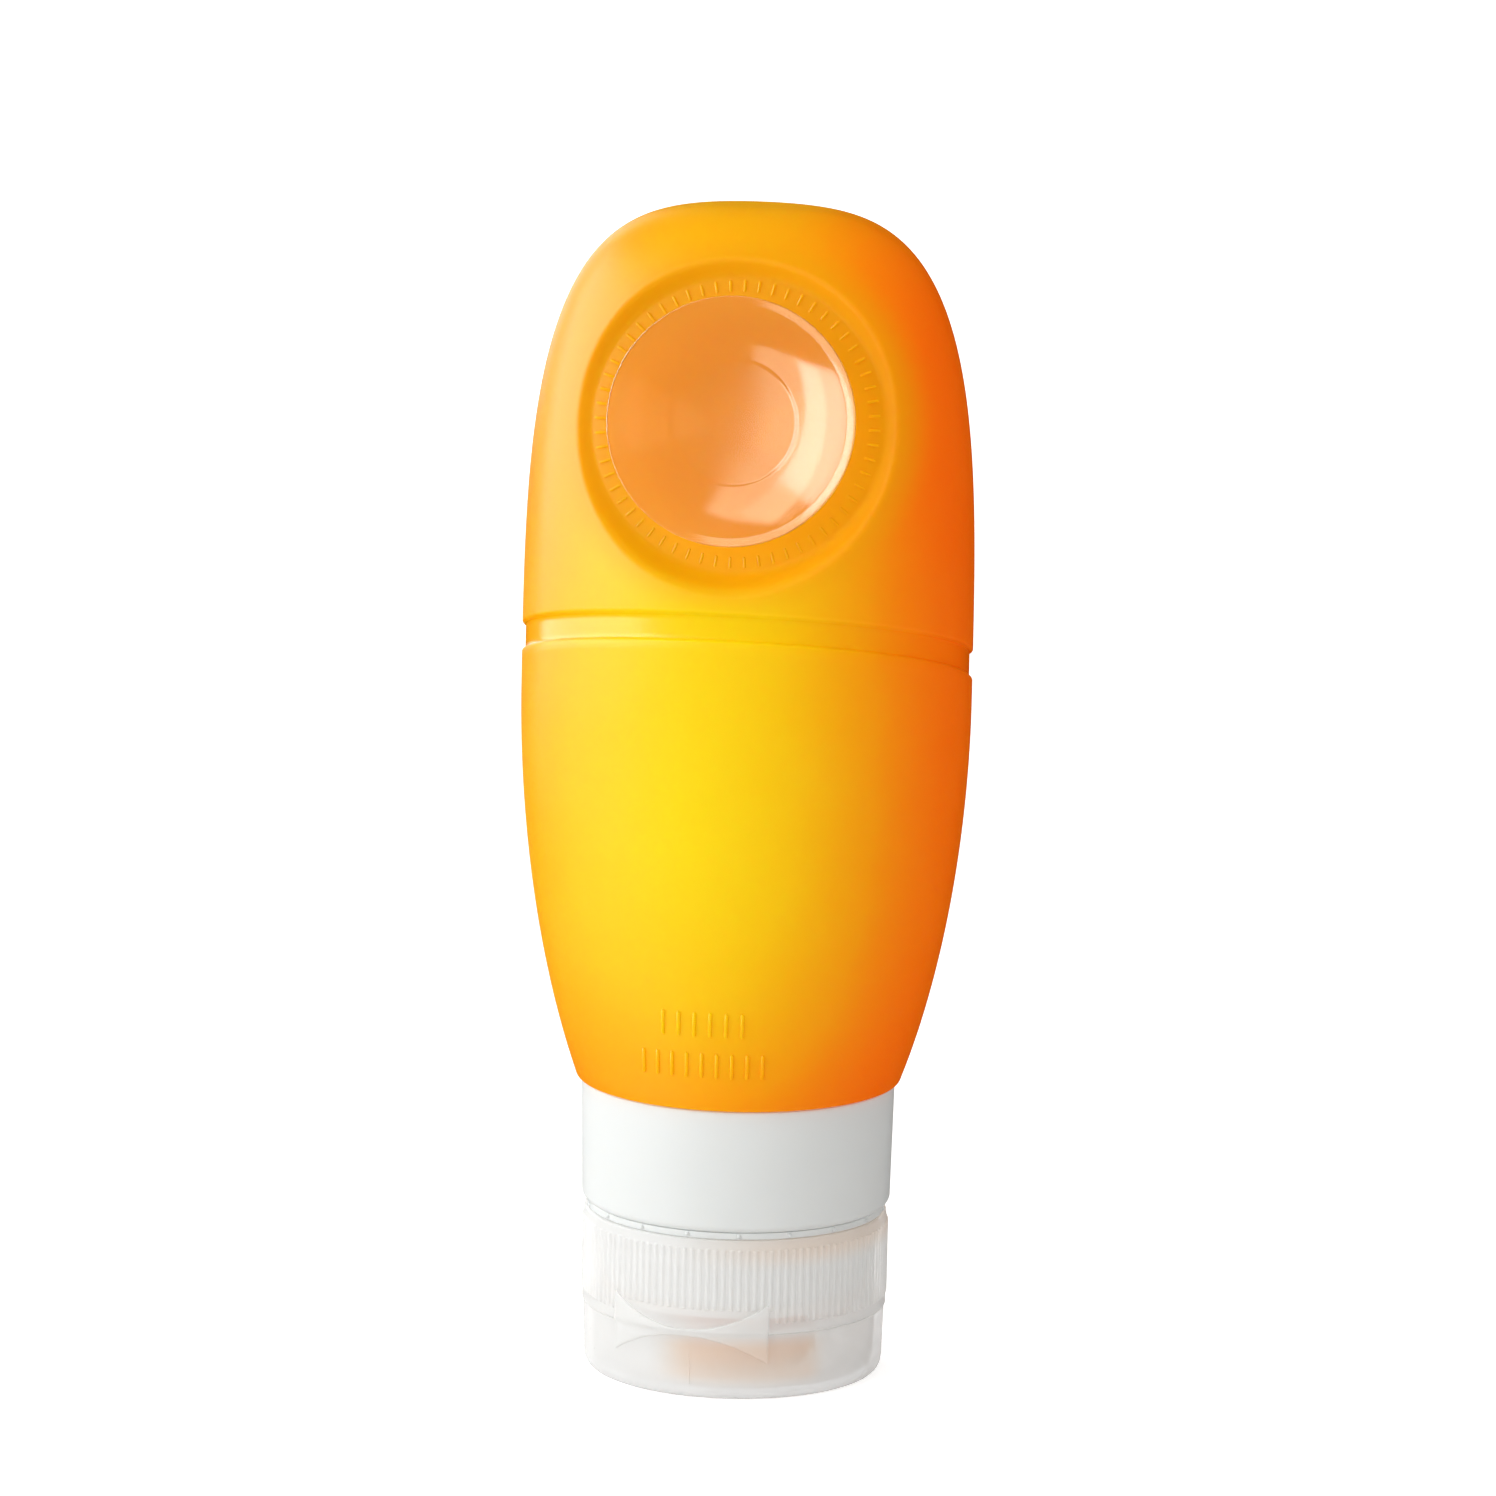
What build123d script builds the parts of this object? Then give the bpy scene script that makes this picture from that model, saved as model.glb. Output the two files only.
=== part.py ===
from build123d import *
from math import cos, pi, radians, sin, tan
import os

# Travel squeeze bottle: a soft oval bottle with a suction cup, standing on its flip lid.
# Millimetres. The origin is the middle of the lid's flat foot, +Z runs up the bottle, and the cup faces -Y.

# Flip lid
lid_height = 8.45
lid_step = 0.2
lid_taper = 0.25
lid_foot_round = 2.0
lid_foot_steps = 3
lid_wall = 1.1
lid_base = 1.3
seal_ring_wall = 0.8
seal_ring_gap = 0.4
seal_ring_overlap = 1.0

# Screw cap: skirt, deck and nozzle
seam_gap = 0.08
skirt_height = 11.75
skirt_top_radius = 18.6
skirt_low_flare = 0.15
skirt_mid_flare = 0.25
skirt_wall = 1.35
skirt_edge_bevel = 0.25
deck_thickness = 1.65
lid_guide_gap = 0.45
lid_guide_wall = 0.9
lid_guide_drop = 1.0
nozzle_radius = 9.0
nozzle_wall = 1.2
nozzle_drop = 4.6
nozzle_lip = 1.3
nozzle_lip_thickness = 0.7
rib_count = 120
rib_depth = 0.22
rib_low_margin = 1.3
rib_top_margin = 1.1
rib_width_share = 0.5
thumb_dip_depth = 0.7
thumb_dip_width = 13.0
thumb_dip_height = 3.6

# Butterfly hinge web between cap and lid, clocked round the bottle from the cup's side
hinge_clock = -10.0
hinge_half_angle = 32.0
hinge_end_half_height = 3.7
hinge_waist_half_height = 0.25
hinge_web_thickness = 0.6
hinge_web_gap = 0.06

# Valve and its retaining ring in the nozzle
valve_flange_thickness = 0.9
valve_height = 2.6
valve_wall = 0.9
valve_side_gap = 0.05
valve_skin = 0.5
valve_slit_width = 0.12
valve_slit_length = 4.2
retainer_height = 1.2
retainer_wall = 1.3

# Gasket on the deck
gasket_thickness = 1.0
gasket_lap = 0.8
gasket_side_gap = 0.95

# Rigid neck inside the soft one: threaded finish, flange and sleeve
thread_space = 1.35
finish_wall = 2.0
mouth_flare = 1.2
bore_cone_height = 1.6
flange_gap = 0.2
flange_thickness = 1.5
flange_rim_reach = 0.6
flange_rim_thickness = 0.6
nub_count = 18
nub_radius = 0.3
sleeve_wall = 1.6
sleeve_setback = 1.0
bead_height = 0.5
bead_width = 1.6
bead_places_share = (0.3, 0.68)

# Clamp ring round the soft neck, and the collar that turns on it
neck_wall = 2.0
clamp_wall = 1.3
collar_fit = 0.3
collar_gap = 0.15
collar_height = 15.28
collar_wall = 1.05
collar_flare = 0.3
collar_bevel = 0.6
collar_top_bevel = 0.35
collar_lip_thickness = 1.2
shoulder_gap = 0.12

# Soft bottle: the outer form
body_height = 107.9
shoulder_overhang = 0.6
half_width = 27.55
front_swell = 0.65
back_swell = 0.65
widest_rise = 47.4
front_rise = 47.4
dome_shift = 1.0
low_power = 1.95
top_power = 3.5
front_power = 2.2
neck_square_power = 2.0
body_square_power = 2.2
body_wall = 3.0
shoulder_round = 0.5
funnel_height = 6.0
outline_points = 10
low_bands = 8
dome_bands = 12
dome_end_angle = 86.0

# Soft bottle: the polished groove that runs round it on a slant
groove_drop = 54.7
groove_tilt = 18.0
groove_width = 3.1
groove_depth = 0.42

# Soft bottle: the round recess that holds the suction cup
recess_drop = 24.7
recess_tilt = 13.0
recess_depth = 4.9
recess_side_gap = 3.4
recess_slope = 24.0
recess_corner_bevel = 0.8

# Suction cup
cup_radius = 15.1
cup_rim_width = 1.1
cup_rim_thickness = 0.7
cup_stand = 5.7
cup_centre_radius = 7.7
cup_centre_depth = 3.1
cup_centre_step = 0.25
cup_dish_bow = 0.9
cup_back_gap = 0.5
cup_stem_radius = 3.0
cup_stem_length = 1.3
cup_head_radius = 4.8
cup_head_thickness = 2.1
cup_socket_floor = 1.7
cup_socket_wall = 2.8

# One overrun serves every cut
overrun = 1.0

# Levels, worked out from the foot of the lid upwards
seam_z = lid_height
skirt_z = seam_z + seam_gap
deck_top_z = skirt_z + deck_thickness
mouth_z = deck_top_z + gasket_thickness
skirt_top_z = skirt_z + skirt_height
flange_z = skirt_top_z + flange_gap
flange_top_z = flange_z + flange_thickness
rim_top_z = flange_z + flange_rim_thickness
collar_z = rim_top_z + collar_gap
collar_top_z = collar_z + collar_height
shoulder_z = collar_top_z + shoulder_gap
sleeve_top_z = shoulder_z - sleeve_setback
clamp_top_z = collar_top_z - collar_lip_thickness - collar_fit
top_z = shoulder_z + body_height
widest_z = shoulder_z + widest_rise
front_z = shoulder_z + front_rise
groove_z = top_z - groove_drop
recess_z = top_z - recess_drop
nozzle_tip_z = skirt_z - nozzle_drop
hinge_z = seam_z + seam_gap / 2

# Radii of the cap and lid, worked out from the top of the skirt
skirt_low_radius = skirt_top_radius + skirt_low_flare
skirt_mid_radius = skirt_top_radius + skirt_mid_flare
skirt_inner_radius = skirt_top_radius - skirt_wall
lid_seam_radius = skirt_low_radius - lid_step
lid_foot_radius = lid_seam_radius - lid_taper
lid_guide_radius = lid_seam_radius - lid_wall - lid_guide_gap
nozzle_inner_radius = nozzle_radius - nozzle_wall

# Radii of the neck: inwards from the skirt to the bore, and from the bore outwards to the shoulder
finish_radius = skirt_inner_radius - thread_space
mouth_radius = finish_radius - finish_wall
bore_radius = mouth_radius - mouth_flare
sleeve_radius = bore_radius + sleeve_wall
neck_radius = sleeve_radius + neck_wall
clamp_radius = neck_radius + clamp_wall
flange_rim_radius = clamp_radius + flange_rim_reach
collar_inner_radius = clamp_radius + collar_fit
collar_low_radius = collar_inner_radius + collar_wall
collar_top_radius = collar_low_radius + collar_flare
shoulder_radius = collar_top_radius + shoulder_overhang

# Radii of the gasket and of the recess's floor
gasket_inner_radius = mouth_radius - gasket_lap
gasket_outer_radius = skirt_inner_radius - gasket_side_gap
recess_floor_radius = cup_radius + recess_side_gap

# Depths of the soft bottle at its fullest, from the middle line
front_depth = shoulder_radius + front_swell
back_depth = shoulder_radius + back_swell


def turned(*corners):
    """A solid turned about the bottle's axis. A corner is (radius, height) or (radius, height, bevel)."""
    points = []
    for place, corner in enumerate(corners):
        here = Vector(corner[0], corner[1])
        if len(corner) == 2:
            points.append(here)
            continue
        for other in (corners[place - 1], corners[(place + 1) % len(corners)]):
            points.append(here + (Vector(other[0], other[1]) - here).normalized() * corner[2])
    return revolve(Plane.XZ * make_face(Polyline(*points, close=True)), Axis.Z)


def quarter_round(radius, z, size):
    """Points of a round outer bottom corner, from the flat face up to the side."""
    turns = [pi / 2 * step / lid_foot_steps for step in range(lid_foot_steps + 1)]
    return [(radius - size * (1 - sin(turn)), z + size * (1 - cos(turn))) for turn in turns]


def swell(z, half, inset, middle_z, low, high_power):
    """How far the outer form reaches from its middle line at a level: widest at middle_z, curving in to
    the round shoulder below it and closing to a dome above it."""
    if z < middle_z:
        fall = (middle_z - shoulder_z) / (1 - (low / half) ** low_power) ** (1 / low_power)
        return half * (1 - ((middle_z - z) / fall) ** low_power) ** (1 / low_power) - inset
    rise = top_z - middle_z - inset
    return (half - inset) * (1 - ((z - middle_z) / rise) ** high_power) ** (1 / high_power)


def middle_line(z):
    """The dome leans away from the cup's side."""
    return dome_shift * (max(z - widest_z, 0) / (top_z - widest_z)) ** 2


def reaches(z, inset=0.0):
    """Half width, front depth and back depth of the soft bottle at a level."""
    wide = swell(z, half_width, inset, widest_z, shoulder_radius, top_power)
    front = swell(z, front_depth, inset, front_z, shoulder_radius, front_power)
    back = swell(z, back_depth, inset, widest_z, shoulder_radius, top_power)
    return wide, front, back


def oval(z, inset=0.0):
    """One section of the soft bottle: round at the shoulder, a squarish oval higher up."""
    wide, front, back = reaches(z, inset)
    climb = min((z - shoulder_z) / widest_rise, 1)
    power = neck_square_power + (body_square_power - neck_square_power) * climb
    points = []
    for step in range(outline_points):
        turn = 2 * pi * step / outline_points
        across, along = cos(turn), sin(turn)
        x = wide * abs(across) ** (2 / power) * (1 if across > 0 else -1)
        depth = back if along > 0 else front
        y = depth * abs(along) ** (2 / power) * (1 if along > 0 else -1)
        points.append(Vector(x, y + middle_line(z), z))
    steps = [step / outline_points for step in range(outline_points + 1)]
    return make_face(Edge.make_spline(points, periodic=True, parameters=steps))


def sections(inset=0.0):
    """Sections up the bottle: even steps up to the widest place, then closer and closer over the dome."""
    rise = top_z - widest_z - inset
    levels = [shoulder_z + widest_rise * step / low_bands for step in range(1, low_bands)]
    turns = [radians(dome_end_angle) * step / dome_bands for step in range(dome_bands + 1)]
    return [oval(z, inset) for z in levels + [widest_z + rise * sin(turn) for turn in turns]]


def make_outer_form(inset=0.0):
    foot = [oval(shoulder_z, inset + shoulder_round), oval(shoulder_z + shoulder_round, inset)]
    return loft(foot + sections(inset), ruled=True)


def make_cavity():
    """The space inside: it opens from the bore like a funnel and follows the outer form."""
    mouth_drop = shoulder_z - sleeve_top_z + overrun
    mouth = oval(shoulder_z, shoulder_radius - bore_radius).moved(Pos(0, 0, -mouth_drop))
    funnel_top = oval(shoulder_z + funnel_height, body_wall)
    above = sections(body_wall)[1:]
    return loft([mouth, funnel_top] + above, ruled=True)


recess_y = middle_line(recess_z) - reaches(recess_z)[1] + recess_depth
recess_axis = (0, -cos(radians(recess_tilt)), sin(radians(recess_tilt)))
recess_frame = Plane(origin=(0, recess_y, recess_z), x_dir=(1, 0, 0), z_dir=recess_axis)


def make_recess():
    """The cut for the cup: a flat floor with a rounded corner and a sloping side."""
    side_height = recess_depth + overrun + cup_stand
    side_radius = recess_floor_radius + side_height * tan(radians(recess_slope))
    return recess_frame.location * turned(
        (0, 0), (recess_floor_radius, 0, recess_corner_bevel), (side_radius, side_height), (0, side_height))


def make_recess_backing():
    """What keeps a wall behind the recess, and round the socket of the cup's stud."""
    side_height = recess_depth + overrun
    low_radius = recess_floor_radius + body_wall
    side_radius = low_radius + side_height * tan(radians(recess_slope))
    socket_depth = cup_stem_length + cup_head_thickness + cup_socket_floor
    socket_radius = cup_head_radius + cup_socket_wall
    return recess_frame.location * turned(
        (0, -socket_depth), (socket_radius, -socket_depth), (socket_radius, -body_wall),
        (low_radius, -body_wall, body_wall), (side_radius, side_height), (0, side_height))


def make_suction_cup():
    """A clear cup: flat rim, bowed dish with a flat middle, and a stud with a head behind it."""
    rim_inner = cup_radius - cup_rim_width
    centre_z = cup_stand - cup_centre_depth
    back_z = cup_stand - cup_rim_thickness
    stem_z = -cup_stem_length
    head_z = stem_z - cup_head_thickness
    dish_z = centre_z + cup_centre_step
    dish_middle = (cup_centre_radius + rim_inner) / 2
    back_middle = (cup_stem_radius + cup_radius) / 2
    return recess_frame.location * turned(
        (0, centre_z), (cup_centre_radius, centre_z), (cup_centre_radius, dish_z),
        (dish_middle, (dish_z + cup_stand) / 2 - cup_dish_bow), (rim_inner, cup_stand),
        (cup_radius, cup_stand), (cup_radius, back_z),
        (back_middle, (cup_back_gap + back_z) / 2 - cup_dish_bow),
        (cup_stem_radius, cup_back_gap), (cup_stem_radius, stem_z), (cup_head_radius, stem_z),
        (cup_head_radius, head_z), (0, head_z))


def make_groove():
    """The band between two slanted planes, as deep as the polished groove."""
    size = 2 * (half_width + overrun)
    band = Pos(0, 0, groove_z) * Rot(-groove_tilt, 0, 0) * Box(size, size, groove_width)
    return band - make_outer_form(groove_depth)


def make_neck_insert():
    """The rigid neck: the threaded finish below the flange, and the beaded sleeve that grips the silicone."""
    cone_z = flange_z - bore_cone_height
    insert = turned(
        (mouth_radius, mouth_z), (finish_radius, mouth_z), (finish_radius, flange_z),
        (flange_rim_radius, flange_z), (flange_rim_radius, rim_top_z), (clamp_radius, rim_top_z),
        (clamp_radius, flange_top_z), (sleeve_radius, flange_top_z), (sleeve_radius, sleeve_top_z),
        (bore_radius, sleeve_top_z), (bore_radius, flange_z), (mouth_radius, cone_z))
    for share in bead_places_share:
        bead_z = flange_top_z + share * (sleeve_top_z - flange_top_z)
        root_radius = sleeve_radius - sleeve_wall / 2
        insert += turned((root_radius, bead_z + bead_width), (sleeve_radius, bead_z + bead_width),
                         (sleeve_radius + bead_height, bead_z), (root_radius, bead_z))
    nub = Pos(flange_rim_radius, 0, flange_z) * Cylinder(
        nub_radius, flange_rim_thickness, align=(Align.CENTER, Align.CENTER, Align.MIN))
    return insert + [Rot(0, 0, 360 * step / nub_count) * nub for step in range(nub_count)]


def make_bottle_shell(neck_insert, suction_cup):
    """The moulded silicone bottle: body, shoulder and soft neck in one piece."""
    body = make_outer_form()
    neck_join_z = shoulder_z + funnel_height
    body += Pos(0, 0, flange_top_z) * Cylinder(
        neck_radius, neck_join_z - flange_top_z, align=(Align.CENTER, Align.CENTER, Align.MIN))
    body -= make_cavity() - make_recess_backing()
    body -= Pos(0, 0, flange_top_z) * Cylinder(
        sleeve_radius, sleeve_top_z - flange_top_z, align=(Align.CENTER, Align.CENTER, Align.MIN))
    body -= make_recess()
    body -= make_groove()
    return body - suction_cup - neck_insert


def make_clamp_ring():
    """The hard ring that squeezes the soft neck onto the beaded sleeve."""
    return turned((neck_radius, flange_top_z), (clamp_radius, flange_top_z),
                  (clamp_radius, clamp_top_z, clamp_wall / 3), (neck_radius, clamp_top_z))


def make_collar():
    """The collar that turns on the clamp ring, kept on by its lip under the silicone shoulder."""
    lip_radius = neck_radius + collar_fit
    lip_z = collar_top_z - collar_lip_thickness
    return turned(
        (collar_inner_radius, collar_z), (collar_low_radius - collar_bevel, collar_z),
        (collar_low_radius, collar_z + collar_bevel), (collar_top_radius, collar_top_z, collar_top_bevel),
        (lip_radius, collar_top_z), (lip_radius, lip_z), (collar_inner_radius, lip_z))


def hinge_pocket(gap=0.0):
    """The bow-tie space of the hinge web in the outside of cap and lid, as deep as the web is thick."""
    half = skirt_mid_radius * sin(radians(hinge_half_angle)) + gap
    end, waist = hinge_end_half_height + gap, hinge_waist_half_height + gap
    outline = ThreePointArc((-half, end), (0, waist), (half, end)) + Line((half, end), (half, -end))
    outline += ThreePointArc((half, -end), (0, -waist), (-half, -end)) + Line((-half, -end), (-half, end))
    prism = extrude(Plane.XZ * make_face(outline), skirt_mid_radius + overrun)
    floor_radius = lid_seam_radius - hinge_web_thickness - gap
    height = 2 * (end + overrun)
    outside = Cylinder(skirt_mid_radius + overrun, height) - Cylinder(floor_radius, height)
    return Rot(0, 0, hinge_clock) * Pos(0, 0, hinge_z) * (prism & outside)


def make_hinge_web():
    """The thin web of the butterfly hinge, flush with the outside of cap and lid."""
    inner_radius = lid_seam_radius - hinge_web_thickness
    low_z, top_z_here = hinge_z - hinge_end_half_height, hinge_z + hinge_end_half_height
    wall = turned((inner_radius, low_z), (lid_seam_radius, low_z), (lid_seam_radius, hinge_z),
                  (skirt_low_radius, top_z_here), (inner_radius, top_z_here))
    return wall & hinge_pocket()


def rib_band():
    """The ring of fine upright ribs round the skirt, as one zigzag outline pushed up."""
    low_z, high_z = skirt_z + rib_low_margin, skirt_top_z - rib_top_margin
    tip, root = skirt_mid_radius, skirt_mid_radius - rib_depth
    points = []
    for step in range(rib_count):
        start = 2 * pi * step / rib_count
        middle = start + 2 * pi * rib_width_share / rib_count
        points += [(root * cos(start), root * sin(start)), (tip * cos(middle), tip * sin(middle))]
    outline = make_face(Polyline(*points, close=True)) - Circle(skirt_inner_radius + skirt_wall / 2)
    return Pos(0, 0, low_z) * extrude(outline, high_z - low_z)


def make_cap_body():
    """The screw cap: ribbed skirt, deck, guide ring for the lid, and the nozzle that holds the valve."""
    low_z, high_z = skirt_z + rib_low_margin, skirt_top_z - rib_top_margin
    root = skirt_mid_radius - rib_depth
    guide_inner = lid_guide_radius - lid_guide_wall
    guide_z = skirt_z - lid_guide_drop
    lip_top_z = nozzle_tip_z + nozzle_lip_thickness
    cap = turned(
        (nozzle_inner_radius - nozzle_lip, nozzle_tip_z), (nozzle_radius, nozzle_tip_z, skirt_edge_bevel),
        (nozzle_radius, skirt_z), (guide_inner, skirt_z), (guide_inner, guide_z),
        (lid_guide_radius, guide_z), (lid_guide_radius, skirt_z),
        (skirt_low_radius, skirt_z), (root, low_z), (root, high_z),
        (skirt_top_radius, skirt_top_z, skirt_edge_bevel), (skirt_inner_radius, skirt_top_z),
        (skirt_inner_radius, deck_top_z), (nozzle_inner_radius, deck_top_z), (nozzle_inner_radius, lip_top_z),
        (nozzle_inner_radius - nozzle_lip, lip_top_z))
    cap += rib_band()
    dip_radius = (thumb_dip_width ** 2 / 4 + thumb_dip_depth ** 2) / (2 * thumb_dip_depth)
    dip = Pos(0, skirt_low_radius - thumb_dip_depth + dip_radius, skirt_z) * Cylinder(
        dip_radius, thumb_dip_height, align=(Align.CENTER, Align.CENTER, Align.MIN))
    cap -= Rot(0, 0, hinge_clock) * dip
    return cap - hinge_pocket()


def make_lid():
    """The flip lid: a flat-footed cup with a ring that seals round the nozzle."""
    inner_radius = lid_seam_radius - lid_wall
    ring_inner = nozzle_radius + seal_ring_gap
    ring_outer = ring_inner + seal_ring_wall
    ring_z = nozzle_tip_z + seal_ring_overlap
    lid = turned(
        (0, 0), *quarter_round(lid_foot_radius, 0, lid_foot_round), (lid_seam_radius, seam_z),
        (inner_radius, seam_z), (lid_foot_radius - lid_wall, lid_base, lid_wall / 2), (ring_outer, lid_base),
        (ring_outer, ring_z), (ring_inner, ring_z), (ring_inner, lid_base), (0, lid_base))
    return lid - hinge_pocket(hinge_web_gap)


def make_valve():
    """The soft valve: a shallow cup that lines the nozzle, with a dished floor that has a cross slit."""
    flange_radius = nozzle_inner_radius - valve_side_gap
    low_z = nozzle_tip_z + nozzle_lip_thickness
    high_z = low_z + valve_height
    floor_z = low_z + valve_flange_thickness
    wall_radius = flange_radius - valve_wall
    dish_radius = nozzle_inner_radius - nozzle_lip - valve_side_gap
    valve = turned(
        (0, low_z), (0, low_z + valve_skin), (dish_radius / 2, low_z + valve_skin), (dish_radius, floor_z),
        (wall_radius, floor_z), (wall_radius, high_z), (flange_radius, high_z), (flange_radius, low_z),
        (dish_radius, low_z))
    slit = Pos(0, 0, low_z) * Box(valve_slit_length, valve_slit_width, 2 * valve_flange_thickness)
    return valve - slit - Rot(0, 0, 90) * slit


def make_valve_retainer():
    """The ring pressed into the nozzle behind the valve."""
    outer = nozzle_inner_radius - valve_side_gap
    low_z = nozzle_tip_z + nozzle_lip_thickness + valve_height
    high_z = low_z + retainer_height
    return turned((outer - retainer_wall, low_z), (outer, low_z), (outer, high_z, retainer_wall / 4),
                  (outer - retainer_wall, high_z))


def make_cap_gasket():
    """The flat washer between the deck and the mouth of the rigid neck."""
    return turned((gasket_inner_radius, deck_top_z), (gasket_outer_radius, deck_top_z),
                  (gasket_outer_radius, mouth_z), (gasket_inner_radius, mouth_z))


neck_insert = make_neck_insert()
suction_cup = make_suction_cup()
pieces = {
    "bottle_shell": make_bottle_shell(neck_insert, suction_cup),
    "suction_cup": suction_cup,
    "neck_insert": neck_insert,
    "clamp_ring": make_clamp_ring(),
    "collar": make_collar(),
    "cap_body": make_cap_body(),
    "cap_gasket": make_cap_gasket(),
    "valve": make_valve(),
    "valve_retainer": make_valve_retainer(),
    "hinge_web": make_hinge_web(),
    "lid": make_lid(),
}

os.makedirs("parts", exist_ok=True)
for name, piece in pieces.items():
    export_step(piece, f"parts/{name}.step")

capacity = make_cavity() - make_recess_backing()
print("space inside the soft bottle, ml:", round(capacity.volume / 1000, 1))
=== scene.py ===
from math import cos, pi, radians, sin, tan

import bmesh
import bpy
import numpy as np
from mathutils import Matrix, Vector


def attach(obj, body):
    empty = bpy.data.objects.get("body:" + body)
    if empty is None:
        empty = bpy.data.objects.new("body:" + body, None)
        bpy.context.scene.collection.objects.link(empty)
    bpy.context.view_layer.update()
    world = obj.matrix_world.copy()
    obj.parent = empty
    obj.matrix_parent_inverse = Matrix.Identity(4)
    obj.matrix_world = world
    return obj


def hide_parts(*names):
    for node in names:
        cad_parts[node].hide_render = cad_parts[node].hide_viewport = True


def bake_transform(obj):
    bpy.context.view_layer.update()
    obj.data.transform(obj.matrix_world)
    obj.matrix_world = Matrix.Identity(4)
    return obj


# Travel squeeze bottle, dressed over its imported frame. Lengths are millimetres until a mesh is made, and +Z is up.
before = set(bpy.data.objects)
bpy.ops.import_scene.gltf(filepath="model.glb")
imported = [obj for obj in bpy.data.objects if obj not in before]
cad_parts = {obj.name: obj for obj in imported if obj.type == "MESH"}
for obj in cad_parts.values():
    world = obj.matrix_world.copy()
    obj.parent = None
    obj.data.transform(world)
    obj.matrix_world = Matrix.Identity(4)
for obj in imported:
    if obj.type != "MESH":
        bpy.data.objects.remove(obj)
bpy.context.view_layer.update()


# Camera: a long lens a little to the right of the cup's side and above it, rolled as the photograph is.
camera_azimuth, camera_elevation, camera_roll = 8.5, 11.5, 1.22
camera_distance, camera_lens = 1.3, 256.0
aim_height, aim_across = 0.0777, 0.00033
turn, lift = radians(camera_azimuth), radians(camera_elevation)
backwards = Vector((sin(turn) * cos(lift), -cos(turn) * cos(lift), sin(lift)))
rightwards = Vector((cos(turn), sin(turn), 0))
camera = bpy.data.objects.new("camera", bpy.data.cameras.new("camera"))
camera.data.lens, camera.data.sensor_width = camera_lens, 36.0
camera.data.clip_start, camera.data.clip_end = 0.05, 20.0
upright = Matrix((rightwards, backwards.cross(rightwards), backwards)).transposed()
camera.matrix_world = Matrix.LocRotScale(
    Vector((0, 0, aim_height)) + rightwards * aim_across + backwards * camera_distance,
    (upright @ Matrix.Rotation(radians(camera_roll), 3, "Z")).to_quaternion(), None)
bpy.context.scene.collection.objects.link(camera)
bpy.context.scene.camera = camera
bpy.context.scene.view_settings.view_transform = "Standard"


# White surroundings: the world lights evenly, shows as plain white to the camera and through clear pieces, and is
# dark in gloss, so that only the lamps leave highlights.
def join(tree, source, target):
    """Feeds a node's output to another node's input."""
    tree.links.new(source, target)


def node(tree, kind, settings=None, **inputs):
    """A node with its plain settings and inputs. An input may be a value or another node's output."""
    made = tree.nodes.new(kind)
    for name, value in (settings or {}).items():
        setattr(made, name, value)
    for name, value in inputs.items():
        socket = made.inputs[int(name[1:]) if name[0] == "i" and name[1:].isdigit() else name.replace("_", " ")]
        if isinstance(value, bpy.types.NodeSocket):
            tree.links.new(value, socket)
        else:
            socket.default_value = value
    return made


world = bpy.data.worlds.new("white_studio")
bpy.context.scene.world = world
world.use_nodes = True
tree = world.node_tree
tree.nodes.clear()
fill_strength = 0.34
ray = node(tree, "ShaderNodeLightPath")
dark_in_gloss = node(tree, "ShaderNodeMath", {"operation": "MULTIPLY_ADD"}, i0=ray.outputs["Is Glossy Ray"],
                     i1=-fill_strength, i2=fill_strength)
filling = node(tree, "ShaderNodeBackground", Color=(1.0, 0.985, 0.965, 1), Strength=dark_in_gloss.outputs["Value"])
shown = node(tree, "ShaderNodeBackground", Color=(1, 1, 1, 1))
seen_direct = node(tree, "ShaderNodeMath", {"operation": "MAXIMUM"}, i0=ray.outputs["Is Camera Ray"],
                   i1=ray.outputs["Is Transmission Ray"])
surroundings = node(tree, "ShaderNodeMixShader", Fac=seen_direct.outputs["Value"],
                    i1=filling.outputs["Background"], i2=shown.outputs["Background"])
node(tree, "ShaderNodeOutputWorld", Surface=surroundings.outputs["Shader"])


# Lamps: a wide wall of light at the left, a weak box behind, a low fill at the right and one above. Gloss shows
# none of the wall and the fills, but a bright sheet straight at the left, and the suction cup alone two windows.
lamps_aim_at = Vector((0, 0, 0.08))


def soft_box(name, place, size, power, tint=(1, 1, 1)):
    """A lamp with a wide and high face, in metres, that faces the bottle. Its power is in watts."""
    lamp = bpy.data.lights.new(name, "AREA")
    lamp.shape, lamp.size, lamp.size_y = "RECTANGLE", size[0], size[1]
    lamp.energy, lamp.color = power, tint
    box = bpy.data.objects.new(name, lamp)
    place = Vector(place)
    box.matrix_world = Matrix.LocRotScale(place, (place - lamps_aim_at).to_track_quat("Z", "Y"), None)
    box.visible_camera = False
    bpy.context.scene.collection.objects.link(box)
    return box


soft_box("left_wall", (-0.8, -0.5, 0.3), (1.7, 0.9), 11.0).visible_glossy = False
left_sheet = soft_box("left_sheet", (-0.86, -0.26, 0.32), (1.6, 1.0), 39.0)
left_sheet.visible_diffuse = left_sheet.visible_transmission = False
window_tint = (0.9, 1, 0.8)
cup_windows = [soft_box("cup_window_wide", (-0.53, -0.84, 0.55), (0.85, 1.7), 25.0, window_tint),
               soft_box("cup_window_bright", (-0.75, -0.6, 0.5), (0.7, 1.5), 9.0, window_tint)]
only_cup = bpy.data.collections.new("lit_by_cup_windows")
for window in cup_windows:
    window.visible_diffuse = window.visible_transmission = False
    window.light_linking.receiver_collection = only_cup
soft_box("back_left_box", (-0.6, 0.8, 0.4), (0.5, 0.8), 3.0)
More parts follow.
